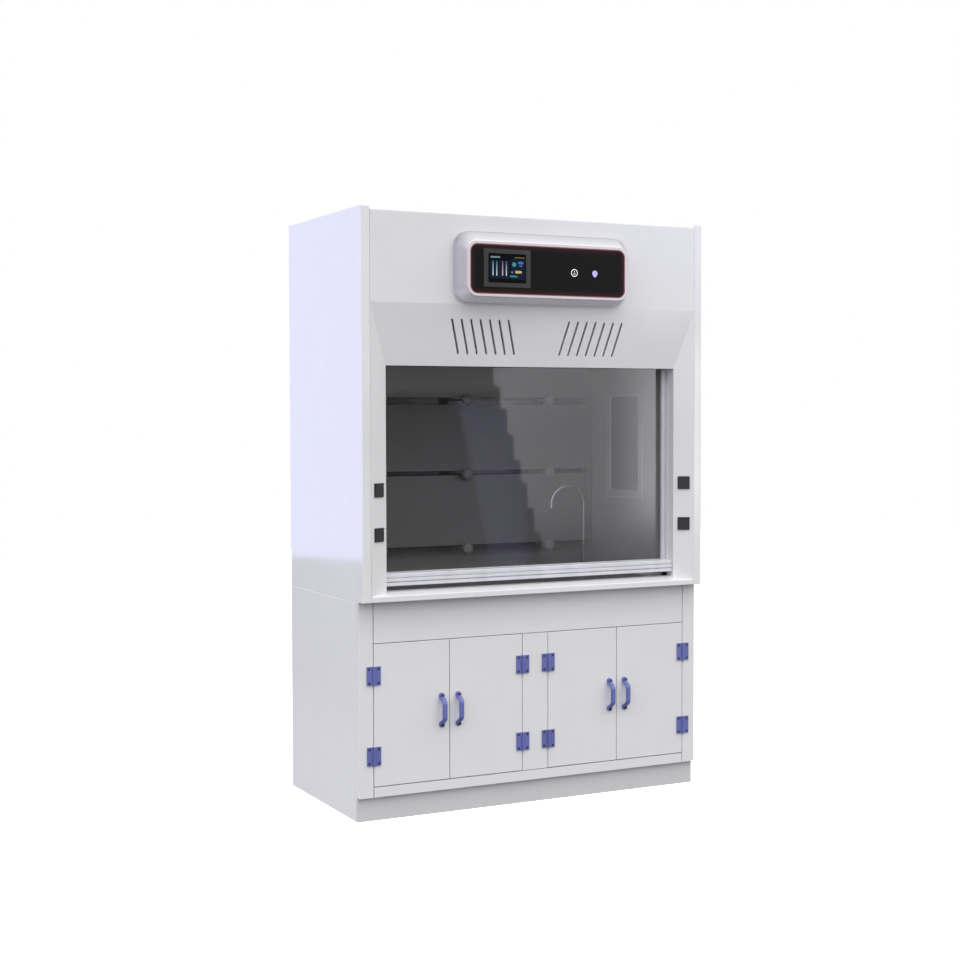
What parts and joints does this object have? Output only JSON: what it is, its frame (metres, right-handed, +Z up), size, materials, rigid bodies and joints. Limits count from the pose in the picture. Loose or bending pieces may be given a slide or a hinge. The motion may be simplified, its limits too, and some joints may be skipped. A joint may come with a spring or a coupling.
{
  "type": "fume hood",
  "caption": "Ducted laboratory fume hood with a sliding glass sash, baffled chamber, cup sink, control console and a base cabinet with hinged doors.",
  "frame": {"origin": "centre of the whole outline on the floor", "axes": "+Z up, the front and the console face -Y, +X to the right seen from the front"},
  "size_m": [1.53, 0.86, 2.39],
  "materials": {
    "pp_white": "satin welded sheet",
    "pp_cabinet": "satin sheet",
    "pp_liner": "satin sheet",
    "baffle_grey": "satin sheet",
    "worktop_dark": "matt",
    "sash_profile": "satin extruded profile",
    "blue_plastic": "moulded",
    "black_plastic": "moulded",
    "console_shell": "moulded",
    "console_black": "gloss",
    "console_red": "gloss",
    "screen": "gloss display in a grey bezel",
    "button_white": "gloss",
    "button_lavender": "gloss",
    "safety_glass": "clear toughened",
    "lamp_white": "opal",
    "steel": "turned",
    "cast_iron": "painted",
    "chrome": "polished",
    "track_profile": "anodised",
    "knob_grey": "moulded"
  },
  "bodies": {
    "housing": {"cabinet_side_left": "pp_cabinet", "cabinet_side_right": "pp_cabinet", "cabinet_back": "pp_cabinet", "cabinet_floor": "pp_cabinet", "cabinet_divider": "pp_cabinet", "cabinet_shelves": "pp_cabinet", "cabinet_front_frame": "pp_cabinet", "toe_kick": "pp_cabinet", "hinge_frame_leaves": "blue_plastic", "hinge_pins": "steel", "hood_side_left": "pp_white", "hood_side_right": "pp_white", "hood_back": "pp_white", "hood_roof": "pp_white", "duct_collar": "pp_white", "front_top_panel": "pp_white", "valance": "pp_white", "post_left": "pp_white", "post_right": "pp_white", "sill": "pp_white", "worktop": "worktop_dark", "cup_sink": "worktop_dark", "tap_body": "chrome", "liner_left": "pp_liner", "liner_right": "pp_liner", "access_panels": "pp_liner", "chamber_ceiling": "pp_liner", "lamp_fitting": "lamp_white", "baffle_panels": "baffle_grey", "baffle_knobs": "knob_grey", "sash_tracks": "track_profile", "console_housing": "console_shell", "console_trim": "console_red", "console_face": "console_black", "console_screen": "screen", "outlet_bodies": "black_plastic"},
    "sash": {"sash_glass": "safety_glass", "sash_frame": "sash_profile", "sash_handle_rail": "sash_profile"},
    "pulley_shaft": {"sash_pulleys": "steel"},
    "counterweights": {"sash_counterweights": "cast_iron"},
    "power_button": {"button_power": "button_white"},
    "light_button": {"button_light": "button_lavender"},
    "spout": {"tap_spout": "chrome"},
    "door_1": {"door_1": "pp_cabinet", "door_1_handle": "blue_plastic", "door_1_hinge_leaves": "blue_plastic"},
    "flap_1": {"outlet_flap_1": "black_plastic"},
    "door_2": {"door_2": "pp_cabinet", "door_2_handle": "blue_plastic", "door_2_hinge_leaves": "blue_plastic"},
    "flap_2": {"outlet_flap_2": "black_plastic"},
    "door_3": {"door_3": "pp_cabinet", "door_3_handle": "blue_plastic", "door_3_hinge_leaves": "blue_plastic"},
    "flap_3": {"outlet_flap_3": "black_plastic"},
    "door_4": {"door_4": "pp_cabinet", "door_4_handle": "blue_plastic", "door_4_hinge_leaves": "blue_plastic"},
    "flap_4": {"outlet_flap_4": "black_plastic"}
  },
  "joints": [
    {"name": "door_1_hinge", "type": "hinge", "parent": "housing", "child": "door_1", "pos_m": [-0.7045, -0.3155, 0.411], "axis": [0, 0, -1], "range_deg": [0, 110]},
    {"name": "door_2_hinge", "type": "hinge", "parent": "housing", "child": "door_2", "pos_m": [-0.0585, -0.3155, 0.411], "axis": [0, 0, 1], "range_deg": [0, 88]},
    {"name": "door_3_hinge", "type": "hinge", "parent": "housing", "child": "door_3", "pos_m": [0.0585, -0.3155, 0.411], "axis": [0, 0, -1], "range_deg": [0, 88]},
    {"name": "door_4_hinge", "type": "hinge", "parent": "housing", "child": "door_4", "pos_m": [0.7045, -0.3155, 0.411], "axis": [0, 0, 1], "range_deg": [0, 110]},
    {"name": "sash_slide", "type": "slide", "parent": "housing", "child": "sash", "axis": [0, 0, 1], "range_m": [-0.018, 0.48]},
    {"name": "counterweight_slide", "type": "slide", "parent": "housing", "child": "counterweights", "axis": [0, 0, 1], "range_m": [-0.48, 0.018]},
    {"name": "pulley_turn", "type": "hinge", "parent": "housing", "child": "pulley_shaft", "pos_m": [0, -0.2145, 2.294], "axis": [-1, 0, 0], "range_deg": [-31, 810]},
    {"name": "power_button_press", "type": "slide", "parent": "housing", "child": "power_button", "axis": [0, 1, 0], "range_m": [0, 0.0015], "stiffness_N_per_m": 600, "springref_m": -0.0005},
    {"name": "light_button_press", "type": "slide", "parent": "housing", "child": "light_button", "axis": [0, 1, 0], "range_m": [0, 0.0015], "stiffness_N_per_m": 600, "springref_m": -0.0005},
    {"name": "spout_swivel", "type": "hinge", "parent": "housing", "child": "spout", "pos_m": [0.52, 0.2, 0.915], "axis": [0, 0, 1], "range_deg": [-45, 100]},
    {"name": "flap_1_hinge", "type": "hinge", "parent": "housing", "child": "flap_1", "pos_m": [-0.68851, -0.34174, 1.1295], "axis": [-0.9035, -0.4286, 0], "range_deg": [0, 115]},
    {"name": "flap_2_hinge", "type": "hinge", "parent": "housing", "child": "flap_2", "pos_m": [-0.68851, -0.34174, 1.3], "axis": [-0.9035, -0.4286, 0], "range_deg": [0, 115]},
    {"name": "flap_3_hinge", "type": "hinge", "parent": "housing", "child": "flap_3", "pos_m": [0.68851, -0.34174, 1.1295], "axis": [-0.9035, 0.4286, 0], "range_deg": [0, 115]},
    {"name": "flap_4_hinge", "type": "hinge", "parent": "housing", "child": "flap_4", "pos_m": [0.68851, -0.34174, 1.3], "axis": [-0.9035, 0.4286, 0], "range_deg": [0, 115]}
  ],
  "couplings": [
    {"joint": "counterweight_slide", "follows": "sash_slide", "ratio": -1},
    {"joint": "pulley_turn", "follows": "sash_slide", "rad_per_m": 29.412}
  ]
}
